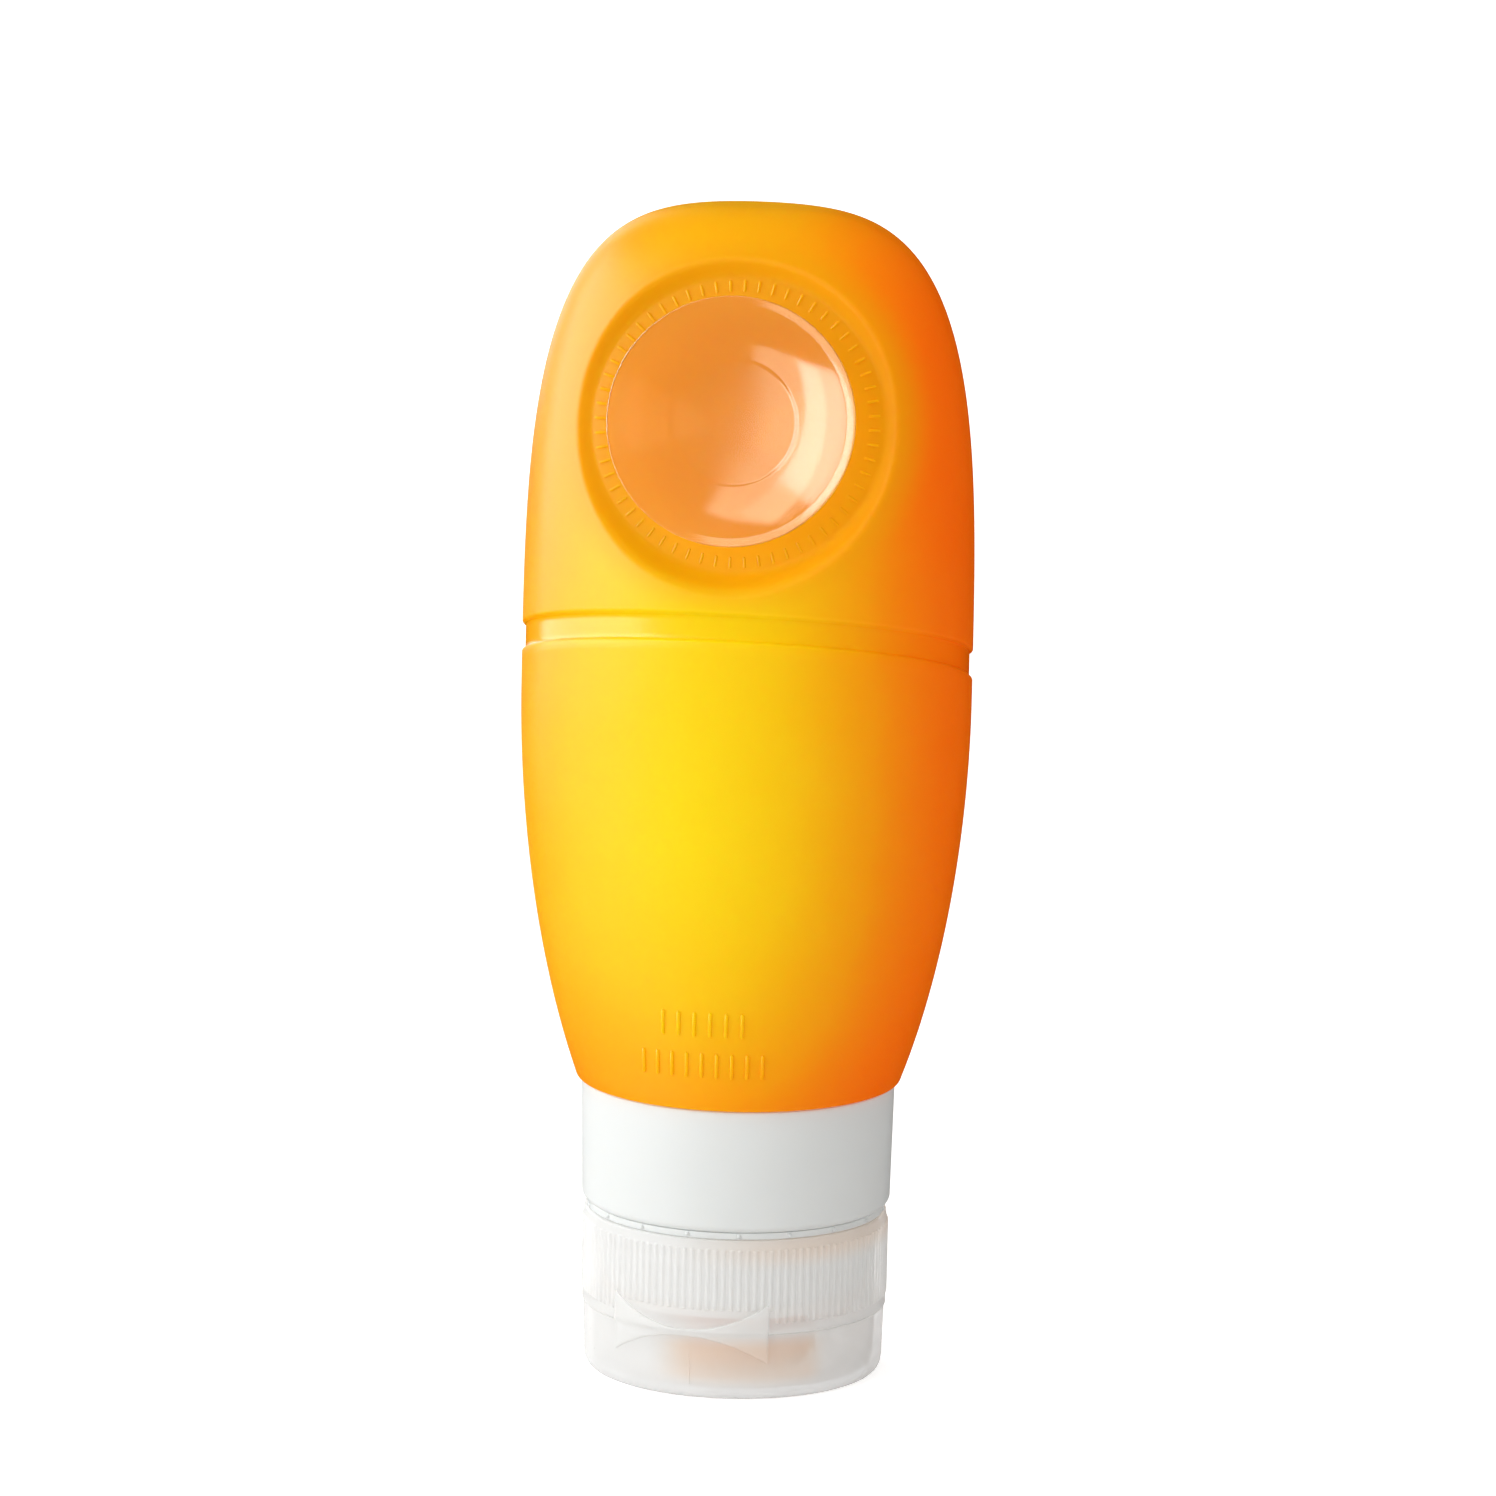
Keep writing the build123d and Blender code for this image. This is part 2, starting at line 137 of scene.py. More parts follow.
soft_box("right_box", (0.8, -0.7, 0.3), (0.5, 0.7), 2.05, (1, 0.97, 0.95)).visible_glossy = False
soft_box("top_box", (-0.1, -0.1, 1.1), (0.8, 0.8), 2.5).visible_glossy = False


# Table: a plain white sheet under and behind the bottle, which keeps its soft shadow. Out where the lamps don't
# reach it shows as plain white.
table_half = 4.0
table_corners = [(-table_half, -table_half, 0), (table_half, -table_half, 0), (table_half, table_half, 0),
                 (-table_half, table_half, 0)]
table_mesh = bpy.data.meshes.new("table")
table_mesh.from_pydata(table_corners, [], [(0, 1, 2, 3)])
table = bpy.data.objects.new("table", table_mesh)
bpy.context.scene.collection.objects.link(table)
table_white = bpy.data.materials.new("table_white")
table_white.use_nodes = True
tree = table_white.node_tree
sheet = tree.nodes["Principled BSDF"]
sheet.inputs["Base Color"].default_value = (0.82, 0.82, 0.82, 1)
sheet.inputs["Roughness"].default_value = 0.9
sheet.inputs["Specular IOR Level"].default_value = 0.1
sheet.inputs["Emission Color"].default_value = (1, 1, 1, 1)
ray = node(tree, "ShaderNodeLightPath")
from_middle = node(tree, "ShaderNodeVectorMath", {"operation": "LENGTH"},
                   i0=node(tree, "ShaderNodeTexCoord").outputs["Object"])
whiter = node(tree, "ShaderNodeMapRange", Value=from_middle.outputs["Value"], From_Min=0.5, From_Max=1.2,
              To_Min=0.63, To_Max=1.0)
glow_to_camera = node(tree, "ShaderNodeMath", {"operation": "MULTIPLY"}, i0=ray.outputs["Is Camera Ray"],
                      i1=whiter.outputs["Result"])
join(tree, glow_to_camera.outputs["Value"], sheet.inputs["Emission Strength"])
table_mesh.materials.append(table_white)
table.visible_glossy = False


# Soft bottle: dip-soft silicone moulded in one piece, matte outside, with a polished groove that runs round it on
# a slant and a round recess in its front. It closes over the top, and its neck goes down into the collar.
mm = 0.001
shoulder_z, top_z, widest_z, front_z = 36.63, 144.38, 84.03, 84.03
shoulder_radius, half_width, front_depth, back_depth = 19.85, 27.55, 20.5, 20.45
dome_shift, body_wall, shoulder_round = 1.0, 3.0, 0.35
low_power, top_power, front_power = 1.95, 3.5, 2.2
neck_radius, sleeve_radius, bore_radius = 16.3, 14.3, 12.7
flange_top_z, sleeve_top_z, funnel_height = 21.98, 35.63, 6.0
groove_z, groove_tilt, groove_depth = 89.83, radians(18), 0.42
recess_origin = np.array((0, -12.008, 119.83))
recess_axis = np.array((0, -cos(radians(13)), sin(radians(13))))
recess_across = np.array((1.0, 0, 0))
recess_up = np.cross(recess_axis, recess_across)
recess_floor_radius, recess_slope, recess_roll, recess_corner = 18.5, tan(radians(24)), 3.4, 2.0
patch_radius = 22.0
search_low, search_high = -9.0, 14.0
body_columns = 240


def reach(z, half, middle_z, high_power, inset):
    """How far the bottle's side stands from its middle line at a level."""
    fall = (middle_z - shoulder_z) / (1 - (shoulder_radius / half) ** low_power) ** (1 / low_power)
    below = np.clip(1 - (np.clip(middle_z - z, 0, fall) / fall) ** low_power, 0, 1) ** (1 / low_power)
    rise = top_z - middle_z - inset
    above = np.clip(1 - (np.clip(z - middle_z, 0, rise) / rise) ** high_power, 0, 1) ** (1 / high_power)
    return np.maximum(np.where(z < middle_z, half * below - inset, (half - inset) * above), 1e-5)


def middle_line(z):
    """How far back the dome's middle leans at a level."""
    return dome_shift * (np.clip(z - widest_z, 0, None) / (top_z - widest_z)) ** 2


def side_measures(z, inset):
    """The bottle's half width and its front and back depth at a level, and the power that squares its section."""
    wide = reach(z, half_width, widest_z, top_power, inset)
    front = reach(z, front_depth, front_z, front_power, inset)
    back = reach(z, back_depth, widest_z, top_power, inset)
    power = 2 + 0.2 * np.clip((z - shoulder_z) / (widest_z - shoulder_z), 0, 1)
    return wide, front, back, power


def on_side(z, angle, inset=0.0):
    """Points of the bottle's outer form, or of that form set in by a wall."""
    z, angle, inset = np.broadcast_arrays(np.asarray(z, float), np.asarray(angle, float), inset)
    wide, front, back, power = side_measures(z, inset)
    across, along = np.cos(angle), np.sin(angle)
    depth = np.where(along > 0, back, front)
    size = (np.abs(across / wide) ** power + np.abs(along / depth) ** power) ** (-1 / power)
    return np.stack([size * across, size * along + middle_line(z), z], axis=-1)


def in_recess_frame(points):
    """Distance from the recess's axis, turn round it, and height along it."""
    off = points - recess_origin
    across, up = off @ recess_across, off @ recess_up
    return np.hypot(across, up), np.arctan2(up, across), off @ recess_axis


def soft_lower(a, b, size):
    """The lower of two heights, rounded where they meet."""
    return np.minimum(a, b) - np.clip(size - np.abs(a - b), 0, None) ** 2 / (4 * size)


def recess_height(radius):
    """The recess's own section: flat floor, rolled corner and sloping side."""
    slope = (radius - recess_floor_radius) / recess_slope
    return -soft_lower(-slope, np.zeros_like(slope), recess_corner)


def at_recess(radius, turn, height):
    """Points at a distance from the recess's axis, a turn round it and a height over its floor."""
    return recess_origin + (radius * np.cos(turn))[..., None] * recess_across \
        + (radius * np.sin(turn))[..., None] * recess_up + height[..., None] * recess_axis


def height_on_side(radius, turn):
    """Height of the outer form over the recess's floor plane, found between a point inside and one outside."""
    low, high = np.full_like(radius, search_low), np.full_like(radius, search_high)
    for _ in range(40):
        middle = (low + high) / 2
        x, y, z = np.moveaxis(at_recess(radius, turn, middle), -1, 0)
        wide, front, back, power = side_measures(z, 0.0)
        along = y - middle_line(z)
        depth = np.where(along > 0, back, front)
        outside = (np.abs(x / wide) ** power + np.abs(along / depth) ** power > 1) | (z >= top_z)
        low, high = np.where(outside, low, middle), np.where(outside, middle, high)
    return (low + high) / 2


def smooth_step(value, start, end):
    """0 before start, 1 after end, and a smooth rise between."""
    share = np.clip((value - start) / (end - start), 0, 1)
    return share * share * (3 - 2 * share)


def add_piece(name, points, faces, crease=40, marks=None):
    """A piece of the object from points in millimetres, with doubles merged and faces turned outwards."""
    mesh = bpy.data.meshes.new(name)
    mesh.from_pydata([tuple(p) for p in np.asarray(points, float) * mm], [], faces)
    if marks is not None:
        mesh.attributes.new("polish", "FLOAT", "POINT").data.foreach_set("value", np.array(marks, np.float32))
    work = bmesh.new()
    work.from_mesh(mesh)
    bmesh.ops.remove_doubles(work, verts=work.verts, dist=2e-7)
    bmesh.ops.recalc_face_normals(work, faces=work.faces)
    work.to_mesh(mesh)
    work.free()
    mesh.shade_smooth()
    mesh.set_sharp_from_angle(angle=radians(crease))
    piece = bpy.data.objects.new(name, mesh)
    bpy.context.scene.collection.objects.link(piece)
    return piece


angles = np.arange(body_columns) * 2 * pi / body_columns
rounding = np.radians(np.linspace(0, 90, 6))
row_levels = list(shoulder_z + shoulder_round * (1 - np.cos(rounding)))
row_insets = list(shoulder_round * (1 - np.sin(rounding)))
groove_flat, groove_edge, polish_full, polish_edge = 1.3, 1.8, 1.45, 1.7
slant = np.array([-1.8, -1.68, -1.55, -1.42, -1.3, -0.8, -0.3, 0.3, 0.8, 1.3, 1.42, 1.55, 1.68, 1.8])
sink = groove_depth * (1 - smooth_step(np.abs(slant), groove_flat, groove_edge))
groove_levels = groove_z + slant / cos(groove_tilt)
below_groove = np.linspace(row_levels[-1], groove_levels[0], 48)[1:-1]
dome_turns = np.radians(np.linspace(0, 90, 88))
dome_size = (np.cos(dome_turns) ** top_power + np.sin(dome_turns) ** top_power) ** (-1 / top_power)
dome_start = groove_levels[-1] + 0.2
dome_levels = dome_start + (top_z - dome_start) * dome_size * np.sin(dome_turns)
row_levels += list(below_groove) + list(groove_levels) + list(dome_levels)
row_insets += [0.0] * len(below_groove) + list(sink) + [0.0] * len(dome_levels)
row_levels, row_insets = np.array(row_levels), np.array(row_insets)
tilt_starts, tilt_full, tilt_fades, tilt_gone = 42, 84, 98, 138
row_tilts = np.tan(groove_tilt) * smooth_step(row_levels, tilt_starts, tilt_full) \
    * (1 - smooth_step(row_levels, tilt_fades, tilt_gone))
levels = np.repeat(row_levels[:, None], body_columns, 1)
for _ in range(30):
    slanted = on_side(levels, angles[None, :], row_insets[:, None])
    levels = 0.5 * levels + 0.5 * (row_levels[:, None] - slanted[..., 1] * row_tilts[:, None])
outer = on_side(levels, angles[None, :], row_insets[:, None])
rows = len(row_levels)
polish_rows = 1 - smooth_step(np.abs((row_levels - groove_z) * cos(groove_tilt)), polish_full, polish_edge)

recess_distance, _, recess_rise = in_recess_frame(outer)
cut_out = (recess_distance < patch_radius) & (recess_rise > search_low)
points = [tuple(p) for p in outer.reshape(-1, 3)]
polish = list(np.repeat(polish_rows, body_columns))
faces, rim_points, crossings = [], [], {}


def crossing(inner, outer_one):
    """The point of the recess patch's edge between a corner inside it and one outside."""
    key = (inner, outer_one)
    if key not in crossings:
        a = [levels.flat[inner], angles[inner % body_columns]]
        b = [levels.flat[outer_one], angles[outer_one % body_columns]]
        if abs(a[1] - b[1]) > pi:
            a[1] += 2 * pi * (1 if a[1] < b[1] else -1)
        a, b = np.array(a), np.array(b)
        for _ in range(26):
            middle = (a + b) / 2
            if in_recess_frame(on_side(middle[0], middle[1])[None])[0][0] < patch_radius:
                a = middle
            else:
                b = middle
        place = on_side(*b)
        crossings[key] = len(points)
        rim_points.append((float(in_recess_frame(place[None])[1][0]), len(points)))
        points.append(tuple(place))
        polish.append(0.0)
    return crossings[key]


inside = cut_out.reshape(-1)
for row in range(rows - 1):
    for column in range(body_columns):
        after = (column + 1) % body_columns
        corners = [row * body_columns + column, row * body_columns + after,
                   (row + 1) * body_columns + after, (row + 1) * body_columns + column]
        hits = [bool(inside[c]) for c in corners]
        if all(hits):
            continue
        if not any(hits):
            faces.append(corners)
            continue
        loop = []
        for here, there, hit, next_hit in zip(corners, corners[1:] + corners[:1], hits, hits[1:] + hits[:1]):
            if not hit:
                loop.append(here)
            if hit != next_hit:
                loop.append(crossing(here, there) if hit else crossing(there, here))
        faces.append(loop)

rim_points.sort()
turns = np.array([t for t, _ in rim_points])
patch_radii = np.concatenate([
    np.arange(21.6, 20.8, -0.3), np.arange(20.8, 17.2, -0.14), [16.9, 16.3, 15.4, 14, 12, 10, 8, 6, 4, 2, 0]])
ring_below = [place for _, place in rim_points]
for radius in patch_radii:
    ring = np.full_like(turns, radius)
    height = soft_lower(height_on_side(ring, turns), recess_height(ring), recess_roll)
    ring_here = list(range(len(points), len(points) + len(turns)))
    points += [tuple(p) for p in at_recess(ring, turns, height)]
    polish += [0.0] * len(turns)
    for k in range(len(turns)):
        n = (k + 1) % len(turns)
        faces.append([ring_below[k], ring_below[n], ring_here[n], ring_here[k]])
    ring_below = ring_here

socket_radius, socket_depth, backing_corner, deepest_backing = 7.6, 5.1, 1.5, -12
circle = np.stack([np.cos(angles), np.sin(angles)], axis=-1)
inner_levels = np.concatenate([
    np.linspace(shoulder_z + funnel_height, widest_z, 16),
    widest_z + (top_z - body_wall - widest_z) * np.sin(np.radians(np.linspace(4, 90, 22)))])
rings = [np.column_stack([circle * r, np.full(body_columns, z)]) for r, z in (
    (neck_radius, shoulder_z), (neck_radius, flange_top_z), (sleeve_radius, flange_top_z),
    (sleeve_radius, sleeve_top_z), (bore_radius + 0.3, sleeve_top_z))]
for z in inner_levels:
    wall_ring = on_side(z, angles, body_wall)
    distance, _, rise = in_recess_frame(wall_ring)
    backing = np.where(distance < socket_radius, -socket_depth, -soft_lower(
        -(-body_wall + (distance - recess_floor_radius - body_wall) / recess_slope),
        np.full_like(distance, body_wall), backing_corner))
    pushed = np.where(rise > deepest_backing, np.minimum(rise, backing), rise)
    rings.append(wall_ring + (pushed - rise)[:, None] * recess_axis)
ring_below = list(range(body_columns))
for ring in rings:
    ring_here = list(range(len(points), len(points) + body_columns))
    points += [tuple(p) for p in ring]
    polish += [0.0] * body_columns
    for k in range(body_columns):
        n = (k + 1) % body_columns
        faces.append([ring_below[n], ring_below[k], ring_here[k], ring_here[n]])
    ring_below = ring_here

soft_bottle = add_piece("soft_bottle", points, faces, crease=50, marks=polish)


def colour(red, green, blue):
    """A colour as it looks on a screen, 0 to 255, as the shader wants it."""
    share = [v / 255 for v in (red, green, blue)]
    return tuple(v / 12.92 if v <= 0.04045 else ((v + 0.055) / 1.055) ** 2.4 for v in share) + (1.0,)


# Moulded grain: how every moulded surface here breaks up its gloss, with fine specks over slow patches. Each
# finish sets its own speck size, roughness, spread and bump.
grain_group = bpy.data.node_groups.new("moulded_grain", "ShaderNodeTree")
for label, kind in (("Place", "NodeSocketVector"), ("Speck Scale", "NodeSocketFloat"),
                    ("Roughness", "NodeSocketFloat"), ("Spread", "NodeSocketFloat")):
    grain_group.interface.new_socket(label, in_out="INPUT", socket_type=kind)
for label in ("Roughness", "Height", "Patches"):
    grain_group.interface.new_socket(label, in_out="OUTPUT", socket_type="NodeSocketFloat")
into = grain_group.nodes.new("NodeGroupInput")
out = grain_group.nodes.new("NodeGroupOutput")
specks = node(grain_group, "ShaderNodeTexNoise", Vector=into.outputs["Place"], Scale=into.outputs["Speck Scale"],
              Detail=3.0)
patches = node(grain_group, "ShaderNodeTexNoise", Vector=into.outputs["Place"], Scale=70.0, Detail=2.0)
mixed = node(grain_group, "ShaderNodeMath", {"operation": "MULTIPLY_ADD"}, i0=patches.outputs["Fac"], i1=0.7,
             i2=specks.outputs["Fac"])
centred = node(grain_group, "ShaderNodeMath", {"operation": "SUBTRACT"}, i0=mixed.outputs["Value"], i1=0.85)
spread = node(grain_group, "ShaderNodeMath", {"operation": "MULTIPLY_ADD"}, i0=centred.outputs["Value"],
              i1=into.outputs["Spread"], i2=into.outputs["Roughness"])
join(grain_group, spread.outputs["Value"], out.inputs["Roughness"])
join(grain_group, specks.outputs["Fac"], out.inputs["Height"])
join(grain_group, patches.outputs["Fac"], out.inputs["Patches"])


def start_finish(name, speck_scale, roughness, spread_by, bump):
    """A finish with moulded grain on its roughness and bump: its material, tree, shader, grain, place and bump."""
    finish = bpy.data.materials.new(name)
    finish.use_nodes = True
    tree = finish.node_tree
    shader = tree.nodes["Principled BSDF"]
    place = node(tree, "ShaderNodeTexCoord").outputs["Object"]
    grain = node(tree, "ShaderNodeGroup", {"node_tree": grain_group}, Place=place, Speck_Scale=speck_scale,
                 Roughness=roughness, Spread=spread_by)
    relief = node(tree, "ShaderNodeBump", Strength=bump, Distance=0.00005, Height=grain.outputs["Height"])
    join(tree, grain.outputs["Roughness"], shader.inputs["Roughness"])
    join(tree, relief.outputs["Normal"], shader.inputs["Normal"])
    return finish, tree, shader, grain, place, relief


# The silicone's finish, matte all over but for the polished groove, with a faint mould line down each side. Its
# colour is painted light and shade: yellowest over the belly a little left of the middle, where light coming through
# is painted in, and deeper orange outwards, fastest towards the right side, a painted shade. The recess is painted
# darker amber as shade, and the colour also glows by emission, a painted glow.
silicone, tree, shader, grain, place, relief = start_finish("orange_silicone", 2600.0, 0.39, 0.2, 0.25)
belly_across, glow_right, belly_height, glow_top, glow_foot = -0.005, 0.029, 0.071, 0.201, 0.018
parts = node(tree, "ShaderNodeSeparateXYZ", Vector=place)
off_across = node(tree, "ShaderNodeMapRange", {"clamp": False}, Value=parts.outputs["X"],
                  From_Min=belly_across, From_Max=glow_right)
off_upward = node(tree, "ShaderNodeMapRange", Value=parts.outputs["Z"], From_Min=belly_height, From_Max=glow_top)
off_downward = node(tree, "ShaderNodeMapRange", Value=parts.outputs["Z"], From_Min=belly_height,
                    From_Max=glow_foot)
off_along = node(tree, "ShaderNodeMath", {"operation": "ADD"}, i0=off_upward.outputs["Result"],
                 i1=off_downward.outputs["Result"])
from_belly = node(tree, "ShaderNodeCombineXYZ", X=off_across.outputs["Result"], Z=off_along.outputs["Value"])
# Painted light and shade: a spherical gradient, brightest on the belly a little left of the middle, sets how yellow
# the colour is. Towards the right side it falls to deep orange as painted shade.
painted_glow = node(tree, "ShaderNodeTexGradient", {"gradient_type": "SPHERICAL"}, Vector=from_belly.outputs["Vector"])
uneven = node(tree, "ShaderNodeMath", {"operation": "MULTIPLY_ADD"}, i0=grain.outputs["Patches"], i1=0.08, i2=-0.04)
painted_glow_uneven = node(tree, "ShaderNodeMath", {"operation": "ADD", "use_clamp": True},
                   i0=painted_glow.outputs["Fac"], i1=uneven.outputs["Value"])
# The ramp runs from deep orange, the painted shade, to yellow, the painted light through the belly.
tint = node(tree, "ShaderNodeValToRGB", Fac=painted_glow_uneven.outputs["Value"])
tint.color_ramp.interpolation = "B_SPLINE"
for place_at, shade in ((0.0, colour(248, 98, 2)), (0.15, colour(243, 117, 2)), (0.32, colour(234, 147, 1)),
                        (0.6, colour(231, 188, 1)), (1.0, colour(233, 210, 1))):
    stop = tint.color_ramp.elements[0] if place_at == 0 else tint.color_ramp.elements[-1] if place_at == 1 \
        else tint.color_ramp.elements.new(place_at)
    stop.color = shade
# Painted shade: inside the recess the colour is mixed towards a darker amber.
from_recess = node(tree, "ShaderNodeVectorMath", {"operation": "DISTANCE"}, i0=place,
                   i1=tuple(recess_origin * mm))
recess_painted_shade = node(tree, "ShaderNodeMapRange", {"interpolation_type": "SMOOTHSTEP"}, Value=from_recess.outputs["Value"],
                 From_Min=0.018, From_Max=0.0245, To_Min=0.9, To_Max=0.0)
colour_with_painted_shade = node(tree, "ShaderNodeMix", {"data_type": "RGBA"}, i0=recess_painted_shade.outputs["Result"], i6=tint.outputs["Color"],
             i7=colour(224, 154, 1))
join(tree, colour_with_painted_shade.outputs[2], shader.inputs["Base Color"])
# The painted colour is also emitted at 0.24: a painted glow, as if light came through the silicone.
join(tree, colour_with_painted_shade.outputs[2], shader.inputs["Emission Color"])
shader.inputs["Emission Strength"].default_value = 0.24
groove_gloss = node(tree, "ShaderNodeAttribute", {"attribute_name": "polish"})
surface = node(tree, "ShaderNodeMix", {"data_type": "FLOAT"}, i0=groove_gloss.outputs["Fac"],
               i2=grain.outputs["Roughness"], i3=0.27)
join(tree, surface.outputs[0], shader.inputs["Roughness"])
groove_coat = node(tree, "ShaderNodeMath", {"operation": "MULTIPLY"}, i0=groove_gloss.outputs["Fac"], i1=0.22)
join(tree, groove_coat.outputs["Value"], shader.inputs["Coat Weight"])
seam_off = node(tree, "ShaderNodeMath", {"operation": "ABSOLUTE"}, i0=parts.outputs["Y"])
seam_line = node(tree, "ShaderNodeMapRange", {"interpolation_type": "SMOOTHSTEP"}, Value=seam_off.outputs["Value"],
                 From_Min=0.0, From_Max=0.00025, To_Min=1.0, To_Max=0.0)
height = node(tree, "ShaderNodeMath", {"operation": "ADD"}, i0=grain.outputs["Height"],
              i1=seam_line.outputs["Result"])
matte_height = node(tree, "ShaderNodeMix", {"data_type": "FLOAT"}, i0=groove_gloss.outputs["Fac"],
                    i2=height.outputs["Value"], i3=0.5)
join(tree, matte_height.outputs[0], relief.inputs["Height"])
shader.inputs["IOR"].default_value = 1.41
shader.inputs["Specular IOR Level"].default_value = 0.28
shader.inputs["Coat Roughness"].default_value = 0.25
shader.inputs["Coat IOR"].default_value = 1.5
shader.inputs["Subsurface Weight"].default_value = 0.7
shader.inputs["Subsurface Radius"].default_value = (1.0, 0.4, 0.05)
shader.inputs["Subsurface Scale"].default_value = 0.003
soft_bottle.data.materials.append(silicone)
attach(soft_bottle, "bottle")
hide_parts("bottle_shell")


# Marks moulded into the silicone: a ring of plain ticks round the cup's seat, and two rows of plain upright ticks
# low on the front. They stand where the real bottle carries lettering.
def bar(length, half_width, half_height, sides=8, caps=3):
    """A round-ended bar along X, centred on the origin, as points in millimetres and faces."""
    ends = [(length / 2 * s + s * half_width * sin(t), cos(t))
            for s in (-1, 1) for t in np.radians(np.linspace(90, 0, caps) if s < 0 else np.linspace(0, 90, caps))]
    bar_points = [(x, half_width * max(size, 1e-3) * cos(turn), half_height * max(size, 1e-3) * sin(turn))
                  for x, size in ends for turn in (2 * pi * k / sides for k in range(sides))]
    bar_faces = [[r * sides + k, r * sides + (k + 1) % sides, (r + 1) * sides + (k + 1) % sides, (r + 1) * sides + k]
                 for r in range(len(ends) - 1) for k in range(sides)]
    bar_faces += [list(range(sides))[::-1], list(range((len(ends) - 1) * sides, len(ends) * sides))]
    return bar_points, bar_faces


ring_tree = bpy.data.node_groups.new("ring_of_marks", "GeometryNodeTree")
ring_tree.interface.new_socket("Mark", in_out="INPUT", socket_type="NodeSocketGeometry")
for label, kind in (("Count", "NodeSocketInt"), ("Ring Radius", "NodeSocketFloat"), ("Level", "NodeSocketFloat"),
                    ("Finish", "NodeSocketMaterial")):
    ring_tree.interface.new_socket(label, in_out="INPUT", socket_type=kind)
ring_tree.interface.new_socket("Marks", in_out="OUTPUT", socket_type="NodeSocketGeometry")
into, out = ring_tree.nodes.new("NodeGroupInput"), ring_tree.nodes.new("NodeGroupOutput")
circle_line = node(ring_tree, "GeometryNodeMeshCircle", Vertices=into.outputs["Count"],
                   Radius=into.outputs["Ring Radius"])
spot = node(ring_tree, "GeometryNodeInputPosition")
facing = node(ring_tree, "FunctionNodeAlignRotationToVector", {"axis": "X"}, Vector=spot.outputs["Position"])
copies = node(ring_tree, "GeometryNodeInstanceOnPoints", Points=circle_line.outputs["Mesh"],
              Instance=into.outputs["Mark"], Rotation=facing.outputs["Rotation"])
raised_by = node(ring_tree, "ShaderNodeCombineXYZ", Z=into.outputs["Level"])
raised = node(ring_tree, "GeometryNodeTransform", Geometry=copies.outputs["Instances"],
              Translation=raised_by.outputs["Vector"])
real_marks = node(ring_tree, "GeometryNodeRealizeInstances", Geometry=raised.outputs["Geometry"])
finished = node(ring_tree, "GeometryNodeSetMaterial", Geometry=real_marks.outputs["Geometry"],
                Material=into.outputs["Finish"])
join(ring_tree, finished.outputs["Geometry"], out.inputs["Marks"])


def grow(name, tree, values, mark=None):
    """Runs a tree on a mark, or on nothing, and returns the result as a plain piece."""
    seed = bpy.data.meshes.new(name + "_mark")
    if mark is not None:
        seed.from_pydata([tuple(v * mm for v in p) for p in mark[0]], [], mark[1])
        seed.shade_smooth()
    piece = bpy.data.objects.new(name, seed)
    bpy.context.scene.collection.objects.link(piece)
    modifier = piece.modifiers.new("grow", "NODES")
    modifier.node_group = tree
    inputs = {item.name: item.identifier for item in tree.interface.items_tree if item.in_out == "INPUT"}
    for label, value in values.items():
        modifier[inputs[label]] = value
    bpy.context.view_layer.update()
    grown = bpy.data.meshes.new_from_object(piece.evaluated_get(bpy.context.evaluated_depsgraph_get()))
    piece.modifiers.remove(modifier)
    grown.name = name
    piece.data = grown
    return piece


seat_ticks = grow("seat_ticks", ring_tree, {
    "Count": 60, "Ring Radius": 16.7 * mm, "Level": 0.0, "Finish": silicone}, bar(1.1, 0.17, 0.08))
seat_ticks.data.transform(Matrix((
    (recess_across[0], recess_up[0], recess_axis[0], recess_origin[0] * mm),
    (recess_across[1], recess_up[1], recess_axis[1], recess_origin[1] * mm),
    (recess_across[2], recess_up[2], recess_axis[2], recess_origin[2] * mm), (0, 0, 0, 1))))
low_points, low_faces, low_rows_turn, side_lean = [], [], radians(-94.5), -0.15
tick_points, tick_faces = bar(2.6, 0.26, 0.24, sides=12)
for row_level, count, spacing in ((47.4, 6, 2.0), (42.3, 9, 1.9)):
    for step in range(count):
        first = len(low_points)
        for upwards, across, out_by in tick_points:
            around = low_rows_turn + ((step - (count - 1) / 2) * spacing - across) / front_depth
            away = np.array((cos(around), sin(around), side_lean))
            low_points.append(tuple(on_side(row_level + upwards, around) + away * out_by))
        low_faces += [[first + v for v in face] for face in tick_faces]
low_ticks = add_piece("low_ticks", low_points, low_faces)
low_ticks.data.materials.append(silicone)
for marks in (seat_ticks, low_ticks):
    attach(marks, "bottle")


# Suction cup: clear soft silicone with a gloss, moulded round. A stud on its back has a wider head, which snaps
# into the bottle's socket and holds the cup there.
def soften(corners, steps=5):
    """An outline whose corners (radius, height, rounding) are rounded."""
    outline = []
    for place_in, corner in enumerate(corners):
        here = np.array(corner[:2], float)
        if len(corner) == 2:
            outline.append(here)
            continue
        before = np.array(corners[place_in - 1][:2], float) - here
        after = np.array(corners[(place_in + 1) % len(corners)][:2], float) - here
        start = here + before / np.linalg.norm(before) * corner[2]
        end = here + after / np.linalg.norm(after) * corner[2]
        for step in range(steps + 1):
            t = step / steps
            outline.append((1 - t) ** 2 * start + 2 * t * (1 - t) * here + t * t * end)
    return np.array(outline)


def turned(outline, columns=256):
    """Points of an outline turned about the axis, as rows by columns, and the faces that close it."""
    around = np.arange(columns) * 2 * pi / columns
    radius, level = outline[:, 0][:, None], outline[:, 1][:, None]
    spun = np.stack([radius * np.cos(around), radius * np.sin(around), level + 0 * around], axis=-1)
    count = len(outline)
    turned_faces = [[r * columns + k, r * columns + (k + 1) % columns,
                     (r + 1) % count * columns + (k + 1) % columns, (r + 1) % count * columns + k]
                    for r in range(count) for k in range(columns)
                    if outline[r][0] > 1e-9 or outline[(r + 1) % count][0] > 1e-9]
    return spun, turned_faces


